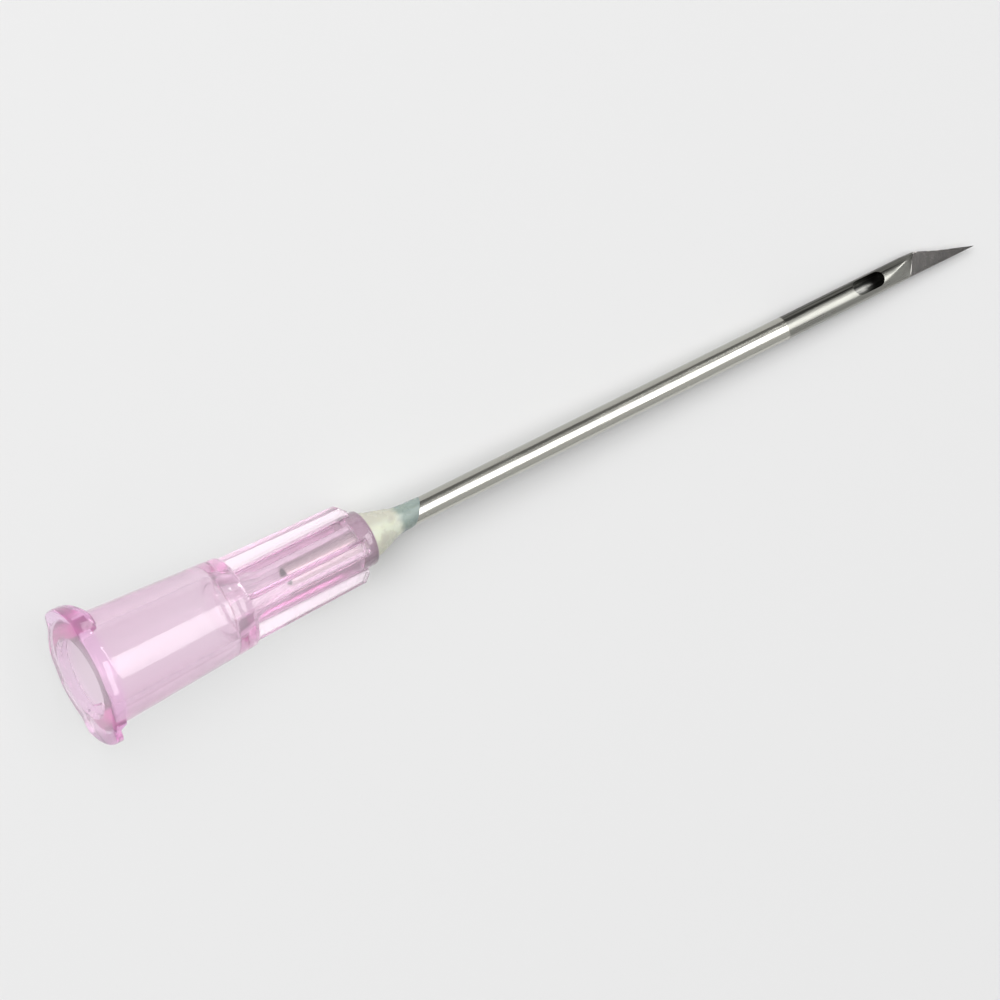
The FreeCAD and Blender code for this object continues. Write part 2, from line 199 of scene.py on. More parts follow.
# %% Dim room for reflections, brighter for what is seen through the plastic
ROOM_LEVEL = 0.19
ROOM_THROUGH = 1.0
room = bpy.data.worlds.new("Room")
room.use_nodes = True
sky = room.node_tree
dim = sky.nodes["Background"]
dim.inputs["Color"].default_value = (1, 1, 1, 1)
dim.inputs["Strength"].default_value = ROOM_LEVEL
bright = sky.nodes.new("ShaderNodeBackground")
bright.inputs["Color"].default_value = (1, 1, 1, 1)
bright.inputs["Strength"].default_value = ROOM_THROUGH
ray = sky.nodes.new("ShaderNodeLightPath")
choose = sky.nodes.new("ShaderNodeMixShader")
sky.links.new(ray.outputs["Is Transmission Ray"], choose.inputs["Fac"])
sky.links.new(dim.outputs["Background"], choose.inputs[1])
sky.links.new(bright.outputs["Background"], choose.inputs[2])
sky.links.new(choose.outputs["Shader"], sky.nodes["World Output"].inputs["Surface"])
scene.world = room

# %% Lamps that the needle mirrors: strip, wall and fold lamp
def add_area_light(name, seen_way, seen_long, length, width, power, distance=1.0):
    """A rectangle that faces the needle from a direction given as the camera sees it."""
    back = (to_row @ seen_way).normalized()
    long_side = to_row @ seen_long
    long_side = (long_side - back * long_side.dot(back)).normalized()
    data = bpy.data.lights.new(name, "AREA")
    data.shape = "RECTANGLE"
    data.size = length
    data.size_y = width
    data.energy = power
    lamp = bpy.data.objects.new(name, data)
    turn = Matrix((long_side, back.cross(long_side), back)).transposed().to_4x4()
    lamp.matrix_world = Matrix.Translation(back * distance) @ turn
    scene.collection.objects.link(lamp)
    print(name, "stands", round(math.degrees(math.asin(back.z))), "degrees up")
    return lamp


def mirrored(turn, off_axis):
    """A direction as the camera sees it, by turn about the needle and angle off its axis."""
    way = seen_face * math.cos(math.radians(turn)) + seen_square * math.sin(math.radians(turn))
    off_axis = math.radians(off_axis)
    return seen_along * math.cos(off_axis) + way * math.sin(off_axis)


STRIP_TWIST = math.radians(3.5)
strip_way = mirrored(turn=-15, off_axis=68.8)
strip_long = Matrix.Rotation(STRIP_TWIST, 3, strip_way) @ seen_square
add_area_light("Strip light", strip_way, strip_long, length=0.79, width=0.22, power=2.36)
wall_way = mirrored(turn=-66, off_axis=56)
wall = add_area_light("Dim wall", wall_way, seen_face, length=1.1, width=1.1, power=1.49)
fold_way = mirrored(turn=14, off_axis=53.5)
fold_lamp = add_area_light("Fold lamp", fold_way, seen_square, length=0.72, width=0.13, power=3.3)
for lamp in (wall, fold_lamp):
    lamp.visible_diffuse = False
    lamp.visible_transmission = False

# %% Lamps for the floor, which no reflection shows: key light and overhead fill
key_way = Vector((-0.14, 0.22, 0.95))
key = add_area_light("Key light", key_way, seen_square, length=0.6, width=0.6, power=5.2)
fill_way = Vector((-0.05, 0.22, 0.97))
fill = add_area_light("Fill light", fill_way, seen_square, length=1.9, width=1.9, power=8.7,
                      distance=1.2)
for lamp in (key, fill):
    lamp.visible_glossy = False
    lamp.visible_transmission = False

# %% [markdown]
# ## Arithmetic with nodes
#
# Both shaders and Geometry Nodes work out numbers with Math nodes, and long formulas soon become
# a thicket of node calls. A small class hides that: it holds one output socket, and a plus or a
# times sign between two of them adds the node. A formula in the script then reads as a formula.

# %% A number that nodes work out
class Number:
    def __init__(self, tree, socket):
        self.tree = tree
        self.socket = socket

    def work(self, operation, *others):
        node = self.tree.nodes.new("ShaderNodeMath")
        node.operation = operation
        for place, item in zip(node.inputs, (self, *others)):
            if isinstance(item, Number):
                self.tree.links.new(item.socket, place)
            else:
                place.default_value = item
        return Number(self.tree, node.outputs[0])

    def __add__(self, other):
        return self.work("ADD", other)

    def __sub__(self, other):
        return self.work("SUBTRACT", other)

    def __mul__(self, other):
        return self.work("MULTIPLY", other)

    def __truediv__(self, other):
        return self.work("DIVIDE", other)

    def __gt__(self, other):
        return self.work("GREATER_THAN", other)

    def least(self, other):
        return self.work("MINIMUM", other)

    def most(self, other):
        return self.work("MAXIMUM", other)

    def within_one(self):
        return self.most(0.0).least(1.0)

    def towards(self, other, share):
        return self + (other - self) * share


def joined_vector(tree, x, y, z):
    node = tree.nodes.new("ShaderNodeCombineXYZ")
    for place, item in zip(node.inputs, (x, y, z)):
        tree.links.new(item.socket, place)
    return node.outputs[0]


# %% Sockets and named inputs for a new group
SOCKETS = {"number": "NodeSocketFloat", "vector": "NodeSocketVector", "colour": "NodeSocketColor",
           "geometry": "NodeSocketGeometry", "material": "NodeSocketMaterial"}


def new_group(name, kind, inputs, outputs):
    """A node group; inputs and outputs map each name to a kind of socket or to a start value."""
    tree = bpy.data.node_groups.new(name, kind)
    for direction, sockets in (("INPUT", inputs), ("OUTPUT", outputs)):
        for label, value in sockets.items():
            socket_type = SOCKETS[value if isinstance(value, str) else "number"]
            made = tree.interface.new_socket(label, in_out=direction, socket_type=socket_type)
            if not isinstance(value, str):
                made.default_value = value
    entry = tree.nodes.new("NodeGroupInput")
    leave = tree.nodes.new("NodeGroupOutput")
    return tree, entry, leave


# %% [markdown]
# ## A shared effect: where along the needle a point is
#
# The tube's finish changes at a line, the glue fades from cream to clear, and drawing lines run
# lengthwise. All of that needs the same two facts at every point of a surface: how far along the
# needle it is, and which way round. One group works them out from Object coordinates. A second
# one makes the lines that a drawing die leaves, long along the tube and fine across it.

# %% Group: needle coordinates
row_to_needle = place_matrix().inverted()
coordinates, entry, leave = new_group(
    "Needle coordinates", "ShaderNodeTree", {"Roll": math.radians(TUBE_ROLL)},
    {"Along": "number", "Side": "number", "Radius": "number", "Needle": "vector"})
texture_place = coordinates.nodes.new("ShaderNodeTexCoord")
to_needle = coordinates.nodes.new("ShaderNodeMapping")
to_needle.inputs["Location"].default_value = row_to_needle.translation
to_needle.inputs["Rotation"].default_value = row_to_needle.to_euler()
to_needle.inputs["Scale"].default_value = row_to_needle.to_scale()
split = coordinates.nodes.new("ShaderNodeSeparateXYZ")
coordinates.links.new(texture_place.outputs["Object"], to_needle.inputs["Vector"])
coordinates.links.new(to_needle.outputs["Vector"], split.inputs[0])
coordinates.links.new(to_needle.outputs["Vector"], leave.inputs["Needle"])
coordinates.links.new(split.outputs["X"], leave.inputs["Along"])
roll = Number(coordinates, entry.outputs["Roll"])
side = Number(coordinates, split.outputs["Y"]) * roll.work("COSINE")
side = side - Number(coordinates, split.outputs["Z"]) * roll.work("SINE")
coordinates.links.new(side.socket, leave.inputs["Side"])
squares = Number(coordinates, split.outputs["Y"]).work("POWER", 2.0)
squares = squares + Number(coordinates, split.outputs["Z"]).work("POWER", 2.0)
coordinates.links.new(squares.work("SQRT").socket, leave.inputs["Radius"])

# %% Group: drawn lines
drawn, entry, leave = new_group(
    "Drawn lines", "ShaderNodeTree",
    {"Needle": "vector", "Fineness": 9.0, "Stretch": 0.02}, {"Lines": "number", "Stains": "number"})
split = drawn.nodes.new("ShaderNodeSeparateXYZ")
drawn.links.new(entry.outputs["Needle"], split.inputs[0])
fineness = Number(drawn, entry.outputs["Fineness"])
stretched = joined_vector(
    drawn,
    Number(drawn, split.outputs["X"]) * Number(drawn, entry.outputs["Stretch"]) * fineness,
    Number(drawn, split.outputs["Y"]) * fineness,
    Number(drawn, split.outputs["Z"]) * fineness,
)
grain = drawn.nodes.new("ShaderNodeTexNoise")
grain.inputs["Scale"].default_value = 1.0
grain.inputs["Detail"].default_value = 3.0
drawn.links.new(stretched, grain.inputs["Vector"])
drawn.links.new(grain.outputs["Fac"], leave.inputs["Lines"])
stains = drawn.nodes.new("ShaderNodeTexNoise")
stains.inputs["Scale"].default_value = 0.7
stains.inputs["Detail"].default_value = 4.0
drawn.links.new(entry.outputs["Needle"], stains.inputs["Vector"])
drawn.links.new(stains.outputs["Fac"], leave.inputs["Stains"])
print("shader groups:", coordinates.name, "and", drawn.name)


# %% Helpers for a material's own tree
def new_material(name):
    material = bpy.data.materials.new(name)
    material.use_nodes = True
    tree = material.node_tree
    return material, tree, tree.nodes["Principled BSDF"]


def add_group(tree, group, **values):
    node = tree.nodes.new("ShaderNodeGroup")
    node.node_tree = group
    for label, value in values.items():
        node.inputs[label].default_value = value
    return node


def set_inputs(shader, values):
    for label, value in values.items():
        shader.inputs[label].default_value = value


def stepped(tree, value, start, end, low, high):
    """Goes smoothly from low to high while value goes from start to end."""
    node = tree.nodes.new("ShaderNodeMapRange")
    node.interpolation_type = "SMOOTHSTEP"
    for label, item in (("From Min", start), ("From Max", end), ("To Min", low), ("To Max", high)):
        node.inputs[label].default_value = item
    tree.links.new(value, node.inputs["Value"])
    return Number(tree, node.outputs["Result"])


def mixed_colour(tree, share, first, second):
    node = tree.nodes.new("ShaderNodeMix")
    node.data_type = "RGBA"
    tree.links.new(share.socket, node.inputs["Factor"])
    for place, item in ((node.inputs[6], first), (node.inputs[7], second)):
        if isinstance(item, tuple):
            place.default_value = item
        else:
            tree.links.new(item, place)
    return node.outputs[2]


def add_bump(tree, shader, height, distance, strength=1.0):
    bump = tree.nodes.new("ShaderNodeBump")
    bump.inputs["Strength"].default_value = strength
    bump.inputs["Distance"].default_value = distance
    tree.links.new(height, bump.inputs["Height"])
    tree.links.new(bump.outputs["Normal"], shader.inputs["Normal"])


# %% [markdown]
# ## Pink moulded plastic
#
# Clear plastic has no surface colour: the pink is in its depth. A thin wall looks nearly white and
# a lug seen from its edge turns magenta, and that difference is what tells the eye it is clear.
# So the surface is plain glass-like transmission, and Volume Absorption inside takes out green
# light, a little blue and hardly any red for every millimetre. The lugs get a little pink on
# their surface too, by a mask that two of the shared facts make. Very faint waves from the mould
# break up the reflections. A lamp's light can't find its way through bent glass, so shadow rays
# see a thin grey film instead, and the hub's shadow stays light as in the picture.

# %% Material: hub plastic
PLASTIC_IOR = 1.43
ABSORPTION_PER_METRE = 158.0
LET_THROUGH = (0.96, 0.12, 0.70, 1)
SHADOW_TINT = (0.93, 0.93, 0.93, 1)
WALLS = (0.98, 0.925, 0.965, 1)
LUGS = (1.0, 0.80, 1.0, 1)

hub_material, tree, shader = new_material("Pink plastic")
set_inputs(shader, {
    "Roughness": 0.12,
    "IOR": PLASTIC_IOR,
    "Transmission Weight": 0.87,
    "Coat Weight": 0.5,
    "Coat Roughness": 0.04,
    "Coat IOR": PLASTIC_IOR,
})
needle_place = add_group(tree, coordinates)
flange_share = stepped(tree, needle_place.outputs["Along"],
                       RIM_THICKNESS, RIM_THICKNESS + 0.5, 1.0, 0.0)
outer_share = stepped(tree, needle_place.outputs["Radius"],
                      RIM_RADIUS - 0.5, RIM_RADIUS + 0.1, 0.0, 1.0)
surface = mixed_colour(tree, flange_share * outer_share, WALLS, LUGS)
tree.links.new(surface, shader.inputs["Base Color"])
waves = tree.nodes.new("ShaderNodeTexNoise")
waves.inputs["Scale"].default_value = 0.8
waves.inputs["Detail"].default_value = 2.0
tree.links.new(needle_place.outputs["Needle"], waves.inputs["Vector"])
add_bump(tree, shader, waves.outputs["Fac"], 0.00003, 0.6)
depth = tree.nodes.new("ShaderNodeVolumeAbsorption")
depth.inputs["Color"].default_value = LET_THROUGH
depth.inputs["Density"].default_value = ABSORPTION_PER_METRE
output = tree.nodes["Material Output"]
ray = tree.nodes.new("ShaderNodeLightPath")
film = tree.nodes.new("ShaderNodeBsdfTransparent")
film.inputs["Color"].default_value = SHADOW_TINT
choose = tree.nodes.new("ShaderNodeMixShader")
diffuse_ray = Number(tree, ray.outputs["Is Diffuse Ray"])
unseen = Number(tree, ray.outputs["Is Shadow Ray"]).most(diffuse_ray)
tree.links.new(unseen.socket, choose.inputs["Fac"])
tree.links.new(shader.outputs["BSDF"], choose.inputs[1])
tree.links.new(film.outputs["BSDF"], choose.inputs[2])
tree.links.new(choose.outputs["Shader"], output.inputs["Surface"])
clear = tree.nodes.new("ShaderNodeMixShader")
tree.links.new(unseen.socket, clear.inputs["Fac"])
tree.links.new(depth.outputs["Volume"], clear.inputs[1])
tree.links.new(clear.outputs["Shader"], output.inputs["Volume"])

# %% [markdown]
# ## Drawn, polished and ground steel
#
# One tube, several finishes. Most of it is drawn and polished: a near mirror with faint lines
# along it, its upper side painted a little darker as painted shade. The last twelve millimetres
# before the point are duller, behind a sharp line, and painted nearly black on the upper side as
# painted shade. The blade is ground, which leaves fine marks across it and a brown-grey, even
# sheen, with painted shade along its lower edge and towards the point. The inside is never
# polished, so it is duller, and its dark colour is partly painted shade; the port's wall is painted
# near black as painted shade in the hole. All four are one metal with drawn lines, so one function
# starts them all, and each adds its own colours by the distance along the needle and to the side.

# %% Material: tube steel
# The darker colours for the upper side are painted shade: the tube's upper side is painted darker,
# and past the finish line nearly black, to stand for the dark reflection there.
POLISHED = (0.57, 0.565, 0.51, 1)
POLISHED_PAINTED_SHADE = (0.46, 0.455, 0.41, 1)
STREAK = (0.48, 0.47, 0.43, 1)
DULLED = (0.31, 0.31, 0.285, 1)
DULLED_PAINTED_SHADE = (0.07, 0.07, 0.062, 1)
FOLD_START = POINT - 5.1
FOLD_SLOPE = 0.18


def new_steel(name, fineness, stretch, faint, strong):
    """A metal with drawn lines, its two groups, and a share that tells line from ground."""
    material, tree, shader = new_material(name)
    shader.inputs["Metallic"].default_value = 1.0
    place = add_group(tree, coordinates)
    lines = add_group(tree, drawn, Fineness=fineness, Stretch=stretch)
    tree.links.new(place.outputs["Needle"], lines.inputs["Needle"])
    line_share = stepped(tree, lines.outputs["Lines"], faint, strong, 0.0, 1.0)
    return material, tree, shader, place, lines, line_share


tube_material, tree, shader, needle_place, lines, line_share = new_steel(
    "Tube steel", fineness=9.0, stretch=0.02, faint=0.35, strong=0.65)
along = needle_place.outputs["Along"]
dull_share = stepped(tree, along, FINISH_LINE - 0.04, FINISH_LINE + 0.04, 0.0, 1.0)
# The painted shade on the upper side begins past a line that climbs along the fold, so the crease
# keeps the lighter colour.
fold_rise = ((Number(tree, along) - FOLD_START) * FOLD_SLOPE).most(0.0)
above_fold = Number(tree, needle_place.outputs["Side"]) - fold_rise
upper_painted_shade = stepped(tree, above_fold.socket, 0.05, 0.3, 0.0, 1.0)
stain_share = stepped(tree, lines.outputs["Stains"], 0.35, 0.7, 0.0, 1.0)
dull = mixed_colour(tree, upper_painted_shade, DULLED, DULLED_PAINTED_SHADE)
bright = mixed_colour(tree, upper_painted_shade, POLISHED, POLISHED_PAINTED_SHADE)
colour = mixed_colour(tree, dull_share, bright, dull)
tree.links.new(mixed_colour(tree, line_share * 0.25, colour, STREAK), shader.inputs["Base Color"])
roughness = line_share * 0.05 + stain_share * 0.04 + dull_share * 0.07 + 0.19
tree.links.new(roughness.socket, shader.inputs["Roughness"])
add_bump(tree, shader, lines.outputs["Lines"], 0.000006, 0.5)

# %% Material: ground blade, with painted shade along its lower edge and towards the point
BLADE = (0.31, 0.295, 0.285, 1)
BLADE_MARKS = (0.35, 0.335, 0.325, 1)
BLADE_PAINTED_SHADE = (0.20, 0.195, 0.19, 1)

blade_material, tree, shader, needle_place, marks, mark_share = new_steel(
    "Ground steel", fineness=14.0, stretch=3.0, faint=0.3, strong=0.7)
ground = mixed_colour(tree, mark_share, BLADE, BLADE_MARKS)
# Painted shade: the blade is darker along its lower edge and towards the point.
low_edge_shade = stepped(tree, needle_place.outputs["Side"], -0.5, -0.3, 0.6, 0.0)
tip_shade = stepped(tree, needle_place.outputs["Along"], POINT - 2.8, POINT - 1.2, 0.0, 0.45)
colour = mixed_colour(tree, low_edge_shade.most(tip_shade), ground, BLADE_PAINTED_SHADE)
tree.links.new(colour, shader.inputs["Base Color"])
tree.links.new((mark_share * 0.02 + 0.075).socket, shader.inputs["Roughness"])
add_bump(tree, shader, marks.outputs["Lines"], 0.000001, 0.5)

# %% Materials: the tube's inside, unpolished and partly painted shade, and the port's wall, painted near black as shade in the hole
# Both dark colours stand for shade: the inside's is duller steel darkened further as painted shade,
# the port wall's is painted shade only.
BORE = (0.22, 0.22, 0.21, 1)
BORE_LINES = (0.34, 0.34, 0.32, 1)
PORT_PAINTED_SHADE = (0.02, 0.02, 0.018, 1)
PORT_PAINTED_SHADE_MARKS = (0.05, 0.048, 0.045, 1)


def dark_steel(name, fineness, stretch, colour, line_colour, roughness):
    material, tree, shader, place, lines, share = new_steel(name, fineness, stretch, 0.3, 0.7)
    tree.links.new(mixed_colour(tree, share, colour, line_colour), shader.inputs["Base Color"])
    tree.links.new((share * 0.1 + roughness).socket, shader.inputs["Roughness"])
    return material


bore_material = dark_steel("Tube inside", 12.0, 0.05, BORE, BORE_LINES, roughness=0.3)
edge_material = dark_steel("Port edge", 11.0, 1.0, PORT_PAINTED_SHADE, PORT_PAINTED_SHADE_MARKS, roughness=0.35)

# %% [markdown]
# ## Adhesive
#
# Cured adhesive is milky: light goes in, scatters and comes out a little further on, so it looks
# soft and has no hard shadow side. Where it thins to a film up the tube, the steel shows through
# and it turns grey-green. Subsurface scattering gives the milk, and the colour and the smoothness
# follow the distance along the needle. The cone's upper side is painted darker as painted shade,
# and inside the well the adhesive is painted dark plum as painted shade under the pink post.

# %% Material: adhesive
CREAM = (0.80, 0.83, 0.69, 1)
# A darker cream, for random mottling and for painted shade on the cone's upper side.
CREAM_MOTTLE_AND_SHADE = (0.62, 0.61, 0.52, 1)
FILM = (0.32, 0.39, 0.35, 1)
# Painted shade: the adhesive inside the well, under the pink post, is painted dark plum.
WELL_PAINTED_SHADE = (0.38, 0.25, 0.33, 1)

glue_material, tree, shader = new_material("Cream adhesive")
needle_place = add_group(tree, coordinates)
cloud = tree.nodes.new("ShaderNodeTexNoise")
cloud.inputs["Scale"].default_value = 1.6
cloud.inputs["Detail"].default_value = 3.0
tree.links.new(needle_place.outputs["Needle"], cloud.inputs["Vector"])
cloud_share = stepped(tree, cloud.outputs["Fac"], 0.35, 0.65, 0.0, 1.0)
wander = Number(tree, cloud.outputs["Fac"]) * 0.7 - 0.35
where = Number(tree, needle_place.outputs["Along"]) + wander
film_share = stepped(tree, where.socket, HUB_LENGTH + 1.7, HUB_LENGTH + 2.2, 0.0, 1.0)
out_share = stepped(tree, needle_place.outputs["Along"], HUB_LENGTH - 0.05, HUB_LENGTH, 0.0, 1.0)
# Painted shade: the upper side of the cone is painted darker.
upper_painted_shade = stepped(tree, needle_place.outputs["Side"], 0.0, 0.6, 0.0, 1.0)
milk = mixed_colour(tree, cloud_share.most(upper_painted_shade), CREAM, CREAM_MOTTLE_AND_SHADE)
seen = mixed_colour(tree, out_share, WELL_PAINTED_SHADE, mixed_colour(tree, film_share, milk, FILM))
tree.links.new(seen, shader.inputs["Base Color"])
tree.links.new((cloud_share * 0.08 + 0.22).socket, shader.inputs["Roughness"])
set_inputs(shader, {
    "Subsurface Weight": 0.5,
    "Subsurface Radius": (1.0, 0.9, 0.6),
    "Subsurface Scale": 0.0004,
    "IOR": 1.5,
})
add_bump(tree, shader, cloud.outputs["Fac"], 0.00004, 0.5)
print("materials:", [material.name for material in bpy.data.materials])


# %% [markdown]
# ## The hub's skin
#
# The hub is one moulding with a passage through it, so its skin is one closed sheet: along the
# outside from the flange to the post's end, down into the adhesive's well, and back through the
# bore, the throat and the socket to the mouth. The sheet is laid out as loops of points, one loop
# after another. Booleans between a cone, a disc and four plates would leave hard joins that show
# at once in clear plastic. Loops give every edge its own small rounding and keep the surface
# smooth in between.
#
# All loops have the same number of points, and they are spaced to suit the fins: some on a fin's
# top, some round its corner, some down its side, and the rest on the post between the fins.

# %% Points of one eighth of the finned section
CORNER_ROUNDING = 0.10
ROOT_ROUNDING = 0.14
TOP_STEPS, CORNER_STEPS, SIDE_STEPS, ROOT_STEPS, POST_STEPS = 5, 5, 7, 5, 20


def arc_points(centre, radius, start, end, steps):
    angles = np.linspace(start, end, steps)
    return np.array(centre) + radius * np.column_stack((np.cos(angles), np.sin(angles)))


def fin_eighth(top, post=POST_RADIUS, half=FIN_HALF):
    """From the middle of a fin's top to half way round to the next fin, as (out, sideways)."""
    corner = min(CORNER_ROUNDING, (top - post) / 3)
    root_out = math.sqrt((post + ROOT_ROUNDING) ** 2 - (half + ROOT_ROUNDING) ** 2)
    root_angle = math.atan2(half + ROOT_ROUNDING, root_out)
    parts = [
        np.linspace((top, 0), (top, half - corner), TOP_STEPS)[:-1],
        arc_points((top - corner, half - corner), corner, 0, math.pi / 2, CORNER_STEPS),
        np.linspace((top - corner, half), (root_out, half), SIDE_STEPS)[1:-1],
        arc_points((root_out, half + ROOT_ROUNDING), ROOT_ROUNDING, -math.pi / 2,
                   root_angle - math.pi, ROOT_STEPS),
        arc_points((0, 0), post, root_angle, math.pi / 4, POST_STEPS)[1:],
    ]
    return np.vstack(parts)


def finned_section(top):
    """The whole section, as (across, up), from its eighth: mirrored once and turned three times."""
    eighth = fin_eighth(top)
    other_eighth = eighth[-2:0:-1, ::-1]
    quarter = np.vstack((eighth, other_eighth))
    loop = []
    for turns in range(4):
        angle = turns * math.pi / 2
        turn = np.array(((math.cos(angle), math.sin(angle)), (-math.sin(angle), math.cos(angle))))
        loop.append(quarter @ turn)
    return np.vstack(loop)


pattern = finned_section(FIN_FRONT)
LOOP_ANGLES = np.arctan2(pattern[:, 1], pattern[:, 0])
print("points in each loop of the hub:", len(LOOP_ANGLES))


# %% Round loops and flange loops use the same spacing
def loop_at(along, radius):
    """A loop of (along, across, up); along and radius are numbers or one value for each point."""
    ways = np.column_stack((np.cos(LOOP_ANGLES), np.sin(LOOP_ANGLES)))
    places = np.empty((len(LOOP_ANGLES), 3))
    places[:, 0] = along
    places[:, 1:] = ways * np.reshape(radius * np.ones(len(LOOP_ANGLES)), (-1, 1))
    return places


def finned_loop(along, top):
    section = finned_section(top)
    return np.column_stack((np.full(len(section), along), section))


def least(first, second, ease):
    """The smaller of two, with the corner between them rounded."""
    gap = np.clip(ease - np.abs(first - second), 0, None)
    return np.minimum(first, second) - gap**2 / (4 * ease)


def most(first, second, ease):
    return -least(-first, -second, ease)


def eased(corners, steps=5):
    """Rounds a path of (along, radius, rounding) corners into (along, radius) points."""
    points = []
    for number, (x, y, rounding) in enumerate(corners):
        here = Vector((x, y))
        if rounding == 0 or number in (0, len(corners) - 1):
            points.append((x, y))
            continue
        back = (Vector(corners[number - 1][:2]) - here).normalized()
        onward = (Vector(corners[number + 1][:2]) - here).normalized()
        for share in np.linspace(0, 1, steps):
            # A quadratic curve between the two tangent points
            start, end = here + back * rounding, here + onward * rounding
            first, second = start.lerp(here, share), here.lerp(end, share)
            points.append(tuple(first.lerp(second, share)))
    return points


# %% The loops, from the lip round the outside and back through the inside
def barrel_radius(along):
    return BARREL_FRONT + (BARREL_REAR - BARREL_FRONT) * along / BARREL_LENGTH


def fin_top(along):
    return FIN_FRONT + (FIN_REAR - FIN_FRONT) * (along - BARREL_LENGTH) / (FIN_END - BARREL_LENGTH)


FLANGE_EASE = 0.18
BACK_EASE = 0.045
BARREL_START = 1.3
RING_PLACES = (7.75, 8.6)
RING_HALF = 0.2
RING_HEIGHT = 0.007
RING_STEPS = 13


def flange_loops():
    """A rim with two flats and two lugs, whose backs lean like a screw thread."""
    rise = np.maximum(np.abs(np.sin(LOOP_ANGLES)), 1e-6)
    rim = least(RIM_RADIUS, RIM_FLAT / rise, 0.02)
    lug = least(LUG_REACH, LUG_HALF_WIDTH / rise, 0.5)
    reach = most(rim, lug, 0.6)
    lean = LUG_LEAD / (2 * math.pi * LUG_REACH) * np.sin(LOOP_ANGLES) * np.sign(np.cos(LOOP_ANGLES))
    on_lug = np.clip((lug - rim) / 0.1, 0, 1)
    back = RIM_THICKNESS + lean * reach * on_lug
    foot = np.maximum(back, RIM_THICKNESS)
    low = np.minimum(reach - BACK_EASE, RIM_RADIUS - BACK_EASE * on_lug)
    loops = []
    for angle in np.linspace(0, math.pi / 2, 6):
        inset = FLANGE_EASE * (1 - math.sin(angle))
        loops.append(loop_at(FLANGE_EASE * (1 - math.cos(angle)), reach - inset))
    for angle in np.linspace(0, math.pi / 2, 4):
        short, inset = BACK_EASE * (1 - math.sin(angle)), BACK_EASE * (1 - math.cos(angle))
        loops.append(loop_at(back - short, reach - inset))
    loops.append(loop_at(back, low))
    loops.append(loop_at(foot, low))
    barrel = barrel_radius(foot)
    loops.append(loop_at(foot, barrel + 0.04))
    loops.append(loop_at(foot + 0.012, barrel + 0.012))
    loops.append(loop_at(foot + 0.04, barrel))
    loops.append(loop_at(foot + 0.09, barrel_radius(foot + 0.09)))
    onward = foot * 0.3 + BARREL_START * 0.7
    loops.append(loop_at(onward, barrel_radius(onward)))
    return loops


def barrel_loops():
    path = []
    for along in np.linspace(BARREL_START, RING_PLACES[0] - 0.6, 9):
        path.append((along, barrel_radius(along)))
    for middle in RING_PLACES:
        for share in np.linspace(-1, 1, RING_STEPS):
            along = middle + 1.3 * RING_HALF * share
            bump = RING_HEIGHT * math.cos(share * math.pi / 2) ** 2
            path.append((along, barrel_radius(along) + bump))
    path += eased([
        (9.0, barrel_radius(9.0), 0),
        (BARREL_LENGTH, BARREL_REAR, 0.12),
        (BARREL_LENGTH, FIN_FRONT + 0.04, 0),
    ])
    return [loop_at(along, radius) for along, radius in path]


def fin_loops():
    places = [(BARREL_LENGTH, fin_top(BARREL_LENGTH))]
    for along in np.linspace(BARREL_LENGTH, FIN_END - FIN_BEVEL, 9)[1:]:
        places.append((along, fin_top(along)))
    for share in (0.15, 0.5, 0.85, 1.0):
        places.append((FIN_END - FIN_BEVEL * (1 - share), fin_top(FIN_END) - FIN_BEVEL * share))
    return [finned_loop(along, top) for along, top in places]


def post_and_passage_loops():
    socket_end = SOCKET_MOUTH - SOCKET_TAPER * SOCKET_DEPTH
    socket_start = SOCKET_MOUTH - SOCKET_TAPER * LEAD_IN
    path = eased([
        (FIN_END, POST_RADIUS, 0),
        (HUB_LENGTH, POST_RADIUS, 0.2),
        (HUB_LENGTH, WELL_RADIUS, 0.04),
        (WELL_FLOOR, WELL_RADIUS, 0.06),
        (WELL_FLOOR, BORE_RADIUS, 0.04),
        (THROAT_END, BORE_RADIUS, 0.3),
        (SOCKET_DEPTH, THROAT_RADIUS, 0.15),
        (SOCKET_DEPTH, socket_end, 0.12),
        (LEAD_IN, socket_start, 0.08),
        (0, SOCKET_MOUTH + LEAD_IN, 0.04),
        (0, SOCKET_MOUTH + 1.5 * LEAD_IN, 0),
    ])
    return [loop_at(along, radius) for along, radius in path]


# %% From loops to one closed mesh
def skin(name, loops, matrix, materials):
    """Joins the loops in order and the last to the first; doubled points are merged."""
    count = len(loops[0])
    mesh = bpy.data.meshes.new(name)
    build = bmesh.new()
    rows = []
    for loop in loops:
        rows.append([build.verts.new(matrix @ Vector(place)) for place in loop])
    for row, following in zip(rows, rows[1:] + rows[:1]):
        for index in range(count):
            after = (index + 1) % count
            build.faces.new((row[index], row[after], following[after], following[index]))
    bmesh.ops.remove_doubles(build, verts=build.verts, dist=0.000002)
    bmesh.ops.dissolve_degenerate(build, edges=build.edges, dist=0.000001)
    bmesh.ops.recalc_face_normals(build, faces=build.faces)
    build.to_mesh(mesh)
    build.free()
    for material in materials:
        mesh.materials.append(material)
    return mesh


def finish_mesh(mesh, sharp_degrees):
    mesh.polygons.foreach_set("use_smooth", [True] * len(mesh.polygons))
    mesh.set_sharp_from_angle(angle=math.radians(sharp_degrees))
    open_edges = sum(1 for count in edge_uses(mesh) if count != 2)
    print(mesh.name, "faces", len(mesh.polygons), "edges that are not closed", open_edges)


def edge_uses(mesh):
    uses = np.zeros(len(mesh.edges), dtype=int)
    for polygon in mesh.polygons:
        for loop_index in polygon.loop_indices:
            uses[mesh.loops[loop_index].edge_index] += 1
    return uses


def show(name, mesh):
    made = bpy.data.objects.new(name, mesh)
    scene.collection.objects.link(made)
    return made


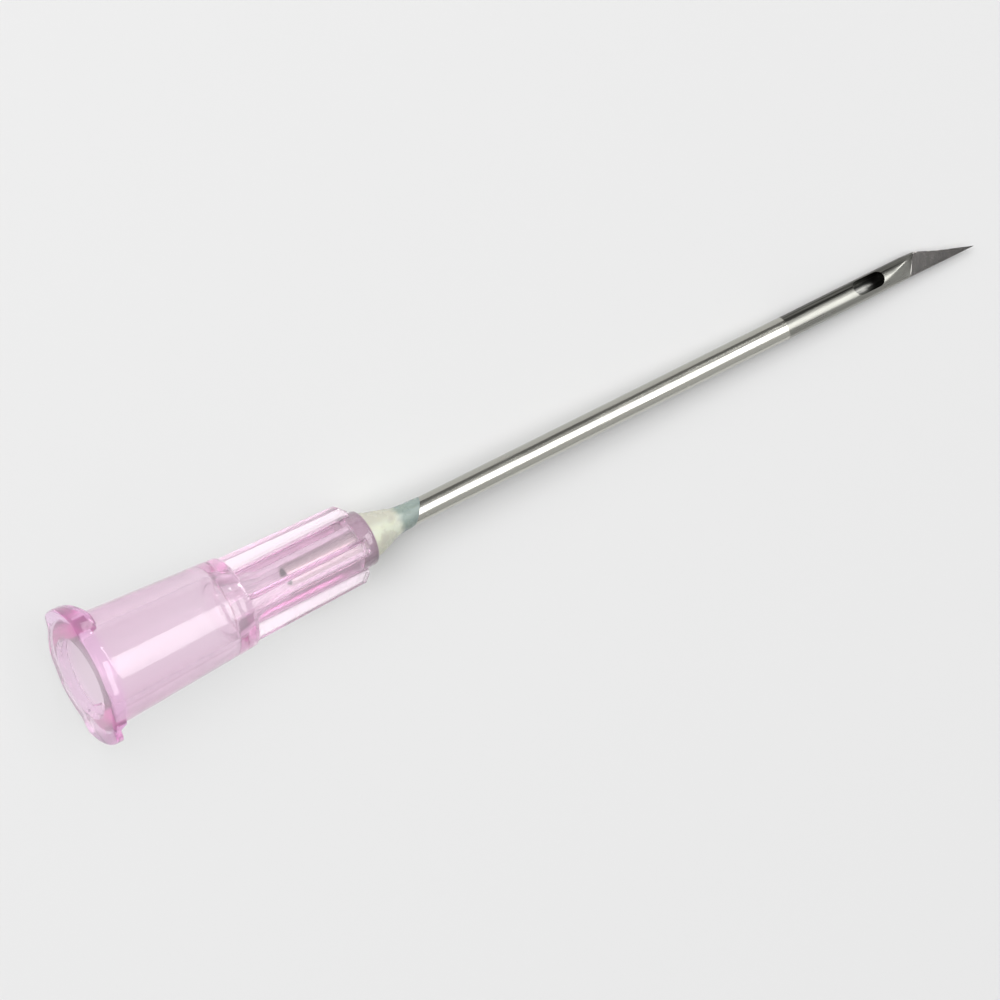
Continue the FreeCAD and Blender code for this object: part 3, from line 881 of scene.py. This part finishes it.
hub_loops = flange_loops() + barrel_loops() + fin_loops() + post_and_passage_loops()
hub_mesh = skin("hub_moulding", hub_loops, place_matrix(), [hub_material])
finish_mesh(hub_mesh, 30)
hub = show("hub_moulding", hub_mesh)

# %% [markdown]
# ## The tube, by rule
#
# The tube follows one rule from end to end: a section, moved along the axis. It stays a circle to
# the crimp. There two flats are pressed into it along a slanting crease, and they close in on each
# other to the blade and on to the point. Two slopes cut the upper edge off. The lower flat starts
# a little sooner, so that the falling tube just clears the floor.
#
# That is a rule that Geometry Nodes can hold. In a bare sheet each point carries two numbers, its
# distance along and its turn round the axis, and whether it is inside. The tree turns those into
# places. The port is a boolean at the end, because a hole through a wall is one, and its cutter is
# a rounded oblong swept outwards.

# %% A bare sheet of points that carry their numbers
TURNS = 96
TAIL = 0.35
LUMEN_END = POINT - 5.4


def carry(mesh, label, values):
    """Gives each point of a sheet a number that a tree can read by its label."""
    layer = mesh.attributes.new(label, "FLOAT", "POINT")
    layer.data.foreach_set("value", values.astype(np.float32))


def sheet_mesh(name, rows):
    """Rows of (distance, inner) become rings; a face closes the first, the rule the last."""
    mesh = bpy.data.meshes.new(name)
    faces = [tuple(range(TURNS))]
    for row in range(len(rows) - 1):
        for turn in range(TURNS):
            after = (turn + 1) % TURNS
            near, far = row * TURNS, (row + 1) * TURNS
            faces.append((near + turn, far + turn, far + after, near + after))
    mesh.from_pydata([(0, 0, 0)] * (len(rows) * TURNS), [], faces)
    carry(mesh, "station", np.repeat([row[0] for row in rows], TURNS))
    carry(mesh, "inner", np.repeat([row[1] for row in rows], TURNS))
    carry(mesh, "turn", np.tile(np.arange(TURNS) * 2 * math.pi / TURNS, len(rows)))
    return mesh


def tube_rows():
    outer = list(np.linspace(POINT, BLADE_START + 0.05, 40))
    outer += [BLADE_START + 0.02, BLADE_START, BLADE_START - 0.02]
    outer += list(np.linspace(BLADE_START - 0.06, CRIMP_START - 2.1, 84))
    outer += list(np.linspace(CRIMP_START - 2.3, TUBE_START + 0.05, 56)) + [TUBE_START]
    inner = [TUBE_START] + list(np.linspace(TUBE_START + 0.1, LUMEN_END, 30))
    inner += [LUMEN_END + TAIL * share for share in (0.3, 0.6, 0.9, 1.0)]
    return [(station, 0.0) for station in outer] + [(station, 1.0) for station in inner]


tube_sheet = sheet_mesh("tube sheet", tube_rows())
print("points in the tube's sheet:", len(tube_sheet.vertices))

# %% The tree: inputs first
TUBE_INPUTS = {
    "Tube Radius": TUBE_RADIUS,
    "Bore Radius": TUBE_RADIUS - 0.15,
    "Crimp Start": CRIMP_START,
    "Blade Start": BLADE_START,
    "Point": POINT,
    "Half Width": 0.59,
    "Half Thickness": 0.22,
    "Point Thickness": 0.03,
    "Slant": math.tan(math.radians(34)),
    "Crease Slant": 2.0,
    "Crease Ease": 0.30,
    "Shortest Fold": 0.4,
    "Lower Fold": 1.8,
    "Bevel Break": 2.05,
    "Break Height": 0.07,
    "Point Drop": 0.57,
    "Lumen End": LUMEN_END,
    "Tail": TAIL,
    "Port Setback": 6.65,
    "Port Length": 1.9,
    "Port Width": 0.88,
    "Port Turn": math.radians(-15),
}
rule, entry, leave = new_group(
    "Tube rule", "GeometryNodeTree",
    {"Geometry": "geometry", **TUBE_INPUTS, "Place": "vector", "Facing": "vector",
     "Outside": "material", "Ground": "material", "Inside": "material", "Cut": "material"},
    {"Geometry": "geometry"})


def given(label):
    return Number(rule, entry.outputs[label])


def carried(tree, label):
    node = tree.nodes.new("GeometryNodeInputNamedAttribute")
    node.data_type = "FLOAT"
    node.inputs["Name"].default_value = label
    return Number(tree, node.outputs["Attribute"])


# %% The tree: a section that changes along the axis
station, turn, inner = (carried(rule, label) for label in ("station", "turn", "inner"))
cosine, sine = turn.work("COSINE"), turn.work("SINE")
fold = given("Blade Start") - given("Crimp Start") - cosine * given("Crease Slant")
fold = fold.most(given("Shortest Fold")).most(sine * given("Lower Fold") * -1.0)
to_flat = ((station - given("Blade Start")) / fold + 1.0).within_one()
to_point = ((station - given("Blade Start")) / (given("Point") - given("Blade Start"))).within_one()
thickness = given("Half Thickness").towards(given("Point Thickness"), to_point)
pressed = (given("Tube Radius") + given("Crease Ease") * 0.5).towards(thickness, to_flat)
rise = sine.work("ABSOLUTE") * given("Tube Radius")
crease_ease = given("Crease Ease").least(pressed)
face = rise.work("SMOOTH_MIN", pressed, crease_ease) * sine.work("SIGN")
flat_side = cosine * given("Half Width")
side = (cosine * given("Tube Radius")).towards(flat_side, to_flat)
leaning = flat_side * given("Slant") * to_flat * (to_point * -1.0 + 1.0)
along = station + leaning

# The slopes that cut the upper edge away: down to the break, then down to the point
corner_along = given("Blade Start") + given("Half Width") * given("Slant")
break_along = given("Point") - given("Bevel Break")
first_fall = (given("Break Height") - given("Half Width")) / (break_along - corner_along)
first_cut = (along - corner_along) * first_fall + given("Half Width")
last_fall = (given("Point Drop") + given("Break Height")) / given("Bevel Break")
last_cut = given("Break Height") - (along - break_along) * last_fall
side = side.least(first_cut.most(last_cut))

# Inside, a plain bore that closes to a cone
closing = ((given("Lumen End") + given("Tail") - station) / given("Tail")).within_one()
bore = given("Bore Radius") * closing
side = side.towards(cosine * bore, inner)
face = face.towards(sine * bore, inner)
along = along.towards(station, inner)

# %% The tree: places, port, materials
def link(tree, start, end):
    tree.links.new(start, end)


def geometry_node(tree, kind, **sockets):
    node = tree.nodes.new(kind)
    for label, item in sockets.items():
        place = node.inputs[label.replace("_", " ")]
        if isinstance(item, Number):
            tree.links.new(item.socket, place)
        elif hasattr(item, "is_output"):
            tree.links.new(item, place)
        else:
            place.default_value = item
    return node


placed = geometry_node(rule, "GeometryNodeSetPosition", Geometry=entry.outputs["Geometry"],
                       Position=joined_vector(rule, along, side, face))
MERGE = 0.0005
merged = geometry_node(rule, "GeometryNodeMergeByDistance", Geometry=placed.outputs[0],
                       Distance=MERGE)

oblong = rule.nodes.new("GeometryNodeCurvePrimitiveQuadrilateral")
link(rule, given("Port Length").socket, oblong.inputs["Width"])
link(rule, given("Port Width").socket, oblong.inputs["Height"])
rounded = geometry_node(rule, "GeometryNodeFilletCurve", Curve=oblong.outputs[0],
                        Radius=given("Port Width") * 0.46)
rounded.mode = "POLY"
rounded.inputs["Count"].default_value = 10
filled = geometry_node(rule, "GeometryNodeFillCurve", Curve=rounded.outputs[0])
OUTWARD = 1.4
swept = geometry_node(rule, "GeometryNodeExtrudeMesh", Mesh=filled.outputs[0], Offset_Scale=OUTWARD)
swept.inputs["Individual"].default_value = False
base = geometry_node(rule, "GeometryNodeFlipFaces", Mesh=filled.outputs[0])
both = rule.nodes.new("GeometryNodeJoinGeometry")
link(rule, swept.outputs["Mesh"], both.inputs[0])
link(rule, base.outputs[0], both.inputs[0])
cutter = geometry_node(rule, "GeometryNodeMergeByDistance", Geometry=both.outputs[0],
                       Distance=0.0001)
port_middle = given("Point") - given("Port Setback")
zero = given("Point") * 0.0
cutter_place = geometry_node(
    rule, "GeometryNodeTransform", Geometry=cutter.outputs[0],
    Translation=joined_vector(rule, port_middle, zero, zero),
    Rotation=joined_vector(rule, given("Port Turn"), zero, zero))
steel = geometry_node(rule, "GeometryNodeSetMaterial", Geometry=merged.outputs[0],
                      Material=entry.outputs["Outside"])
dark = geometry_node(rule, "GeometryNodeSetMaterial", Geometry=cutter_place.outputs[0],
                     Material=entry.outputs["Cut"])
holed = rule.nodes.new("GeometryNodeMeshBoolean")
holed.operation = "DIFFERENCE"
holed.solver = "EXACT"
link(rule, steel.outputs[0], holed.inputs["Mesh 1"])
link(rule, dark.outputs[0], holed.inputs["Mesh 2"])

moved = geometry_node(rule, "GeometryNodeTransform", Geometry=holed.outputs["Mesh"],
                      Translation=entry.outputs["Place"], Rotation=entry.outputs["Facing"],
                      Scale=(MM, MM, MM))
real = geometry_node(rule, "GeometryNodeRealizeInstances", Geometry=moved.outputs[0])
on_blade = (carried(rule, "station") > given("Blade Start") - 0.001) * (inner * -1.0 + 1.0)
ground = geometry_node(rule, "GeometryNodeSetMaterial", Geometry=real.outputs[0],
                       Selection=on_blade, Material=entry.outputs["Ground"])
inside = geometry_node(rule, "GeometryNodeSetMaterial", Geometry=ground.outputs[0],
                       Selection=inner > 0.6, Material=entry.outputs["Inside"])
link(rule, inside.outputs[0], leave.inputs["Geometry"])


# %% Run a tree once and keep the plain mesh
def run_tree(name, sheet, tree, values):
    """A modifier's inputs go by their identifiers; the result is copied and the modifier goes."""
    carrier = show(name, sheet)
    modifier = carrier.modifiers.new("rule", "NODES")
    modifier.node_group = tree
    for item in tree.interface.items_tree:
        if item.in_out == "INPUT" and item.name in values:
            modifier[item.identifier] = values[item.name]
    graph = bpy.context.evaluated_depsgraph_get()
    mesh = bpy.data.meshes.new_from_object(carrier.evaluated_get(graph))
    carrier.modifiers.remove(modifier)
    bpy.data.objects.remove(carrier)
    bpy.data.meshes.remove(sheet)
    mesh.name = name
    return mesh


tube_place = place_matrix(TUBE_ROLL)
tube_mesh = run_tree("cannula_tube", tube_sheet, rule, {
    "Place": tuple(tube_place.translation),
    "Facing": tuple(tube_place.to_3x3().normalized().to_euler()),
    "Outside": tube_material,
    "Ground": blade_material,
    "Inside": bore_material,
    "Cut": edge_material,
})
finish_mesh(tube_mesh, 28)
tube = show("cannula_tube", tube_mesh)
print("tube slots:", [slot.name for slot in tube_mesh.materials])

# %% [markdown]
# ## The adhesive, by rule
#
# The adhesive is a turned shape that never came out perfectly round: it creeps further up one side
# of the tube, and its surface is a little uneven. The same kind of sheet carries a distance and a
# radius, and the tree adds the creep on one side and a soft noise.

# %% Sheet and tree for the adhesive
GLUE_SINK = 0.012
CONE_FOOT, CONE_MIDDLE, CONE_END = 1.33, 0.98, 0.71
FILM_END = 3.2
glue_path = eased([
    (WELL_FLOOR + 0.01, TUBE_RADIUS - GLUE_SINK, 0),
    (WELL_FLOOR + 0.01, WELL_RADIUS + GLUE_SINK, 0.05),
    (HUB_LENGTH - 0.02, WELL_RADIUS + GLUE_SINK, 0.05),
    (HUB_LENGTH - 0.01, CONE_FOOT, 0.03),
    (HUB_LENGTH + 1.15, CONE_MIDDLE, 0.4),
    (HUB_LENGTH + 1.95, CONE_END, 0.4),
    (HUB_LENGTH + FILM_END, TUBE_RADIUS + 0.02, 0.03),
    (HUB_LENGTH + FILM_END + 0.02, TUBE_RADIUS - GLUE_SINK, 0),
], steps=9)


def glue_sheet():
    """Rings of points along the path; the last row joins the first again."""
    mesh = bpy.data.meshes.new("glue sheet")
    rows = len(glue_path)
    faces = []
    for row in range(rows):
        near, far = row * TURNS, (row + 1) % rows * TURNS
        for turn_number in range(TURNS):
            after = (turn_number + 1) % TURNS
            faces.append((near + turn_number, near + after, far + after, far + turn_number))
    mesh.from_pydata([(0, 0, 0)] * (rows * TURNS), [], faces)
    carry(mesh, "station", np.repeat([point[0] for point in glue_path], TURNS))
    carry(mesh, "radius", np.repeat([point[1] for point in glue_path], TURNS))
    carry(mesh, "turn", np.tile(np.arange(TURNS) * 2 * math.pi / TURNS, rows))
    return mesh


creep, entry, leave = new_group(
    "Adhesive rule", "GeometryNodeTree",
    {"Geometry": "geometry", "Post End": HUB_LENGTH, "Tube Radius": TUBE_RADIUS, "Creep": 0.42,
     "Creep Turn": 0.0, "Unevenness": 0.10, "Place": "vector", "Facing": "vector",
     "Milk": "material"},
    {"Geometry": "geometry"})
station, turn, radius = (carried(creep, label) for label in ("station", "turn", "radius"))
cosine, sine = turn.work("COSINE"), turn.work("SINE")
past_post = ((station - Number(creep, entry.outputs["Post End"])) / FILM_END).within_one()
one_side = (turn - Number(creep, entry.outputs["Creep Turn"])).work("COSINE")
along = station + one_side * past_post * past_post * Number(creep, entry.outputs["Creep"])
lumps = creep.nodes.new("ShaderNodeTexNoise")
lumps.inputs["Scale"].default_value = 0.9
lumps.inputs["Detail"].default_value = 1.5
link(creep, joined_vector(creep, station, cosine, sine), lumps.inputs["Vector"])
proud = (radius - Number(creep, entry.outputs["Tube Radius"])).most(0.0)
unevenness = Number(creep, entry.outputs["Unevenness"])
swell = (Number(creep, lumps.outputs["Fac"]) - 0.5) * 2.0 * unevenness
middle_of_cone = (past_post * 4.0).within_one()
radius = radius + proud * swell * 2.0 * middle_of_cone
placed = geometry_node(creep, "GeometryNodeSetPosition", Geometry=entry.outputs["Geometry"],
                       Position=joined_vector(creep, along, cosine * radius, sine * radius))
merged = geometry_node(creep, "GeometryNodeMergeByDistance", Geometry=placed.outputs[0],
                       Distance=0.001)
moved = geometry_node(creep, "GeometryNodeTransform", Geometry=merged.outputs[0],
                      Translation=entry.outputs["Place"], Rotation=entry.outputs["Facing"],
                      Scale=(MM, MM, MM))
real = geometry_node(creep, "GeometryNodeRealizeInstances", Geometry=moved.outputs[0])
milky = geometry_node(creep, "GeometryNodeSetMaterial", Geometry=real.outputs[0],
                      Material=entry.outputs["Milk"])
link(creep, milky.outputs[0], leave.inputs["Geometry"])

glue_place = place_matrix(TUBE_ROLL)
glue_mesh = run_tree("adhesive_cone", glue_sheet(), creep, {
    "Place": tuple(glue_place.translation),
    "Facing": tuple(glue_place.to_3x3().normalized().to_euler()),
    "Milk": glue_material,
})
finish_mesh(glue_mesh, 40)
glue = show("adhesive_cone", glue_mesh)

# %% [markdown]
# ## Hand the pieces to the frame
#
# Each piece stands for its CAD node, rides on the part's one body and takes its finish from the
# node's slot in the record. The two boxes are written down so that they can be compared.

# %% Hide each CAD node and let its piece ride on the body
for piece, node, slot_name in (
    (hub, "hub", "hub_plastic"),
    (tube, "cannula", "cannula_steel"),
    (glue, "epoxy_bead", "adhesive"),
):
    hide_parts(node)
    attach(piece, "root")
